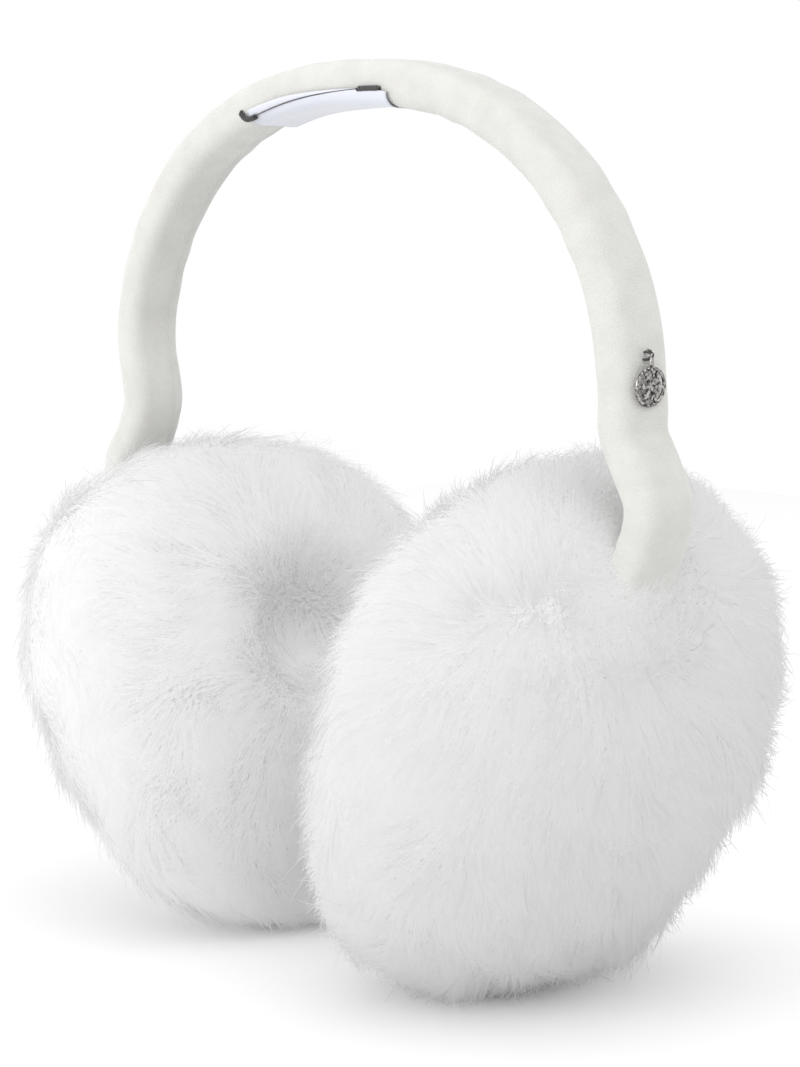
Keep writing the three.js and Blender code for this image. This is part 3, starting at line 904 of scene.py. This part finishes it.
label_from, label_to, bar_at = run_at(LABEL_LEFT), run_at(LABEL_RIGHT), run_at(BAR_AT)
start_clean()
bpy.ops.mesh.primitive_grid_add(x_subdivisions=60, y_subdivisions=18, size=1)
label = bpy.context.object
flat = points_of(label).copy()
label_run = label_from + (flat[:, 0] + 0.5) * (label_to - label_from)
label_across = LABEL_FRONT + (flat[:, 1] + 0.5) * (LABEL_BACK - LABEL_FRONT)
past = np.maximum(-(label_across + BAND_WIDTH / 2 - LABEL_CORNER), 0) / LABEL_CORNER
turn = np.clip(past, 0, 1.5) * WRAP_TURN
wrap = LABEL_CORNER + CORNER_LIFT
wrapped_across = -(BAND_WIDTH / 2 - LABEL_CORNER) - wrap * np.sin(turn)
wrapped_off = -(LABEL_OFF - LABEL_CORNER - CORNER_LIFT) - wrap * np.cos(turn)
across = np.where(past > 0, wrapped_across, label_across)
off = np.where(past > 0, wrapped_off, -LABEL_OFF)
off -= LABEL_RIPPLE * np.sin(label_run / 4.2) * np.sin(label_across / 2.6)
move_points(label, on_band(label_run, across, off))
face_outwards(label)
thick = label.modifiers.new("thickness", "SOLIDIFY")
thick.thickness = SATIN_THICKNESS * MM
thick.offset = 0
bpy.ops.object.modifier_apply(modifier="thickness")
bpy.ops.object.shade_smooth()
finish_piece(label, "satin_label", satin, ["care_label"])

# %% [markdown]
# ## Black stitches
# The label's front edge is caught by a thin black thread that ends in a thick twisted bar at both
# sides; the left bar hooks up on the velvet. Two plies wind round each other on each bar.


# %% Stitches
TUBE_RESOLUTION = 2
POINTS_PER_TURN, PLY_SPREAD = 14, 0.85


def thread_tube(name, path, radius):
    """A tube along a path of room points in metres, closed at both ends."""
    start_clean()
    data = bpy.data.curves.new(name, "CURVE")
    data.dimensions = "3D"
    data.bevel_depth = radius
    data.bevel_resolution = TUBE_RESOLUTION
    data.use_fill_caps = True
    spline = data.splines.new("POLY")
    spline.points.add(len(path) - 1)
    spline.points.foreach_set("co", np.c_[path, np.ones(len(path))].ravel())
    piece = bpy.data.objects.new(name, data)
    bpy.context.scene.collection.objects.link(piece)
    only(piece)
    bpy.ops.object.convert(target="MESH")
    bpy.ops.object.shade_smooth()
    return bpy.context.object


def twisted(name, path, ply_radius, pitch):
    """Two plies wound round a path."""
    run = np.r_[0, np.cumsum(np.linalg.norm(np.diff(path, axis=0), axis=1))]
    at = np.linspace(0, run[-1], int(run[-1] / pitch * POINTS_PER_TURN))
    course = np.stack([np.interp(at, run, path[:, k]) for k in range(3)], 1)
    tangent = unit(np.gradient(course, axis=0))
    side = unit(np.cross(tangent, [[0.31, 0.2, 0.93]]))
    up = np.cross(tangent, side)
    plies = []
    for ply in (0, 1):
        angle = (2 * np.pi * at / pitch + ply * np.pi)[:, None]
        around = side * np.cos(angle) + up * np.sin(angle)
        course_of_ply = course + ply_radius * PLY_SPREAD * around
        plies.append(thread_tube(f"{name}_{ply}", course_of_ply, ply_radius))
    only(plies[0])
    plies[1].select_set(True)
    bpy.ops.object.join()
    return plies[0]


EDGE_ACROSS = -BAND_WIDTH / 2 - 0.2
EDGE_LEFT, EDGE_RIGHT = -BAND_THICKNESS / 2 + 0.9, -BAND_THICKNESS / 2 + 3.5
EDGE_THREAD, PLY_RADIUS, PLY_PITCH = 0.16 * MM, 0.42 * MM, 1.9 * MM


def edge_off(run):
    """The edge is sewn a little askew: it lies higher on the velvet at its right end."""
    share = (run - label_from) / (bar_at - label_from)
    return EDGE_LEFT + (EDGE_RIGHT - EDGE_LEFT) * share


edge_runs = np.linspace(label_from, bar_at, 60)
edge_path = on_band(edge_runs, EDGE_ACROSS - 0.5, edge_off(edge_runs))
edge_line = thread_tube("edge", edge_path, EDGE_THREAD)
finish_piece(edge_line, "label_edge_thread", thread)
bar_run = np.linspace(bar_at - 3, bar_at + 5, 30)
bar_path = on_band(bar_run, EDGE_ACROSS - 0.3, edge_off(bar_run))
right_bar = twisted("bar", bar_path, PLY_RADIUS, PLY_PITCH)
finish_piece(right_bar, "right_whip_stitch", thread)
hook_run = label_from + np.array([3.0, 1.0, -0.6, -1.8, -2.6, -3.2])
hook_off = EDGE_LEFT + np.array([0, 0, 0.2, 0.8, 1.7, 2.8])
hook_path = on_band(hook_run, EDGE_ACROSS - 0.4, hook_off)
left_bar = twisted("bar", hook_path, PLY_RADIUS, PLY_PITCH)
finish_piece(left_bar, "left_whip_stitch", thread)

# %% [markdown]
# ## Charm
# The drop is an openwork medal: a round rim, and in it a snow crystal of three bars with twigs. It
# is modelled flat, bar by bar, with bevelled edges that catch the light, and then set on the leg.

# %% Charm's place
CHARM_HEIGHT, CHARM_BACK, CHARM_RADIUS, CHARM_TILT = 148.2, -0.9, 4.5, math.radians(8)
OFF_VELVET, LEFT_LEG_FAR = 0.3, 1000
leg = np.abs(line[:, 1] - CHARM_HEIGHT) + (line[:, 0] < 0) * LEFT_LEG_FAR
leg_place, leg_tangent, leg_outward = along_line(line_run[int(leg.argmin())])
climb = -leg_tangent
off_leg = (BAND_THICKNESS / 2 + OFF_VELVET) * np.array([leg_outward[0], 0, leg_outward[1]])
stack_place = np.array([leg_place[0], -BAND_FORWARD + CHARM_BACK, leg_place[1]]) + off_leg
stack = Matrix(((0, climb[0], leg_outward[0]), (1, 0, 0), (0, climb[1], leg_outward[1]))).to_4x4()
stack = Matrix.Translation(Vector(stack_place * MM)) @ stack
print("charm stands at", [round(float(v), 1) for v in stack_place])


def on_leg(rows):
    """Room positions of rows in metres: along the leg's width, up it and off it."""
    return np.array([stack @ Vector(row) for row in rows])


# %% Charm parts
RIM_RADIUS, RIM_WIRE, BAR_BEVEL = 4.08, 0.42, 0.14
ARMS = 3
BAR_SIZE, TWIG_SIZE = (0.8, 8.0, 0.62), (0.55, 1.35, 0.56)
TWIG_OUT, TWIG_SHIFT, TWIG_TURN = 1.9, 0.62, math.pi / 3.4
HUB_RADIUS, HUB_DEPTH = 1.0, 0.7


def bar(width, length, thickness, centre, angle):
    """A bevelled bar in the XY plane, turned about the origin."""
    start_clean()
    bpy.ops.mesh.primitive_cube_add(size=1, location=(0, 0, 0))
    piece = bpy.context.object
    piece.scale = (width * MM, length * MM, thickness * MM)
    settle(piece)
    edges = piece.modifiers.new("edges", "BEVEL")
    edges.width = BAR_BEVEL * MM
    edges.segments = 2
    bpy.ops.object.modifier_apply(modifier="edges")
    shift = Matrix.Translation(Vector((*centre, 0)) * MM)
    piece.data.transform(Matrix.Rotation(angle, 4, "Z") @ shift)
    return piece


bpy.ops.mesh.primitive_torus_add(major_radius=RIM_RADIUS * MM, minor_radius=RIM_WIRE * MM,
                                 major_segments=72, minor_segments=14)
charm_parts = [bpy.context.object]
for arm in range(ARMS):
    charm_parts.append(bar(*BAR_SIZE, (0, 0), math.pi * (arm + 0.5) / ARMS))
for arm in range(2 * ARMS):
    arm_turn = Matrix.Rotation(math.pi * (arm + 0.5) / ARMS, 4, "Z")
    for side in (-1, 1):
        twig = bar(*TWIG_SIZE, (0, TWIG_SHIFT), side * TWIG_TURN)
        twig.data.transform(arm_turn @ Matrix.Translation((0, TWIG_OUT * MM, 0)))
        charm_parts.append(twig)
start_clean()
bpy.ops.mesh.primitive_cylinder_add(vertices=36, radius=HUB_RADIUS * MM, depth=HUB_DEPTH * MM)
charm_parts.append(bpy.context.object)
only(charm_parts[0])
for part in charm_parts:
    part.select_set(True)
bpy.ops.object.join()
charm = charm_parts[0]
lift = (0.35 + CHARM_RADIUS * math.sin(CHARM_TILT)) * MM
lean = Matrix.Translation((0, 0, lift)) @ Matrix.Rotation(CHARM_TILT, 4, "X")
charm.data.transform(stack @ lean)
only(charm)
bpy.ops.object.shade_smooth_by_angle(angle=math.radians(35))
finish_piece(charm, "snow_charm", nickel, ["charm"])

# %% [markdown]
# ### Jump ring and its thread
# A wire ring holds the medal, and a few turns of dark thread tack the ring to the velvet. The ring
# is a torus that is turned so that it passes through the medal's rim. The thread is short loops
# over the ring with two loose ends.

# %% Jump ring and its thread
RING_RADIUS, RING_WIRE, RING_TURN = 1.96, 0.29, math.radians(42)
RING_PLACE = Vector((0, 5.14, 1.59))
TACK_LOOPS = ((-0.25, 0.8, 1.9), (0.2, 0.95, 2.15), (0.0, 0.75, 2.0))
TACK_ENDS = ((-0.6, 1.0), (0.4, 0.7))
LOOP_POINTS, LOOP_PAST = 22, 0.2
LOOP_RADIUS, END_RADIUS = 0.24, 0.13
start_clean()
bpy.ops.mesh.primitive_torus_add(major_radius=RING_RADIUS * MM, minor_radius=RING_WIRE * MM,
                                 major_segments=40, minor_segments=12)
ring = bpy.context.object
ring_turned = Matrix.Translation(RING_PLACE * MM) @ Matrix.Rotation(RING_TURN, 4, "Y")
ring.data.transform(stack @ ring_turned)
bpy.ops.object.shade_smooth()
finish_piece(ring, "charm_ring", nickel, ["jump_ring"])

tack_loops = []
angles = np.linspace(-LOOP_PAST, math.pi + LOOP_PAST, LOOP_POINTS)
for index, (sideways, tall, high) in enumerate(TACK_LOOPS):
    loop = np.stack([sideways + 0.25 * np.cos(angles), 6.75 + tall * np.cos(angles),
                     high * np.sin(angles) - 0.3], 1) * MM
    tack_loops.append(thread_tube(f"tack_{index}", on_leg(loop), LOOP_RADIUS * MM))
for sideways, rise in TACK_ENDS:
    end = np.array([(sideways * t * t, 7.2 + rise * t, 0.5 + 0.9 * math.sin(2.6 * t))
                    for t in np.linspace(0, 1, 12)]) * MM
    tack_loops.append(thread_tube("tack_end", on_leg(end), END_RADIUS * MM))
only(tack_loops[0])
for loop in tack_loops:
    loop.select_set(True)
bpy.ops.object.join()
finish_piece(tack_loops[0], "charm_tack", thread, ["thread_tack"])

# %% [markdown]
# ## Floor and light
# A plain pale floor lies in a bright, even room, as in a product picture. Four large soft lamps
# shade the white fur gently: the main one is low at the front, one stands at the left, one hangs
# above and to the right, and a weak one fills from the right. The Standard view keeps white white.

# %% Floor and light
start_clean()
bpy.ops.mesh.primitive_plane_add(size=1.8)
floor = bpy.context.object
floor.name = "floor"
paper = new_material("white_paper", (0.85, 0.85, 0.85), 0.9, Specular_IOR_Level=0.0)
floor.data.materials.append(paper)


LAMP_AIM = Vector((0, 0, 0.1))


def soft_lamp(name, place, size, power):
    """A round area lamp that faces the earmuffs; place and size are in metres, power in watts."""
    start_clean()
    bpy.ops.object.light_add(type="AREA", location=place)
    lamp = bpy.context.object
    lamp.name = name
    lamp.data.shape = "DISK"
    lamp.data.size = size
    lamp.data.energy = power
    lamp.rotation_euler = (LAMP_AIM - Vector(place)).to_track_quat("-Z", "Y").to_euler()


soft_lamp("key", (-0.3, -1.5, 0.38), 1.3, 10)
soft_lamp("left", (-1.4, -0.4, 0.4), 1.2, 3)
soft_lamp("top", (0.6, -0.1, 1.45), 2.0, 8.5)
soft_lamp("fill", (1.3, -0.9, 0.35), 2.0, 1.2)
world = bpy.context.scene.world or bpy.data.worlds.new("room")
bpy.context.scene.world = world
world.use_nodes = True
background = world.node_tree.nodes["Background"]
background.inputs["Color"].default_value = (1, 1, 1, 1)
background.inputs["Strength"].default_value = 1.0
bpy.context.scene.view_settings.view_transform = "Standard"
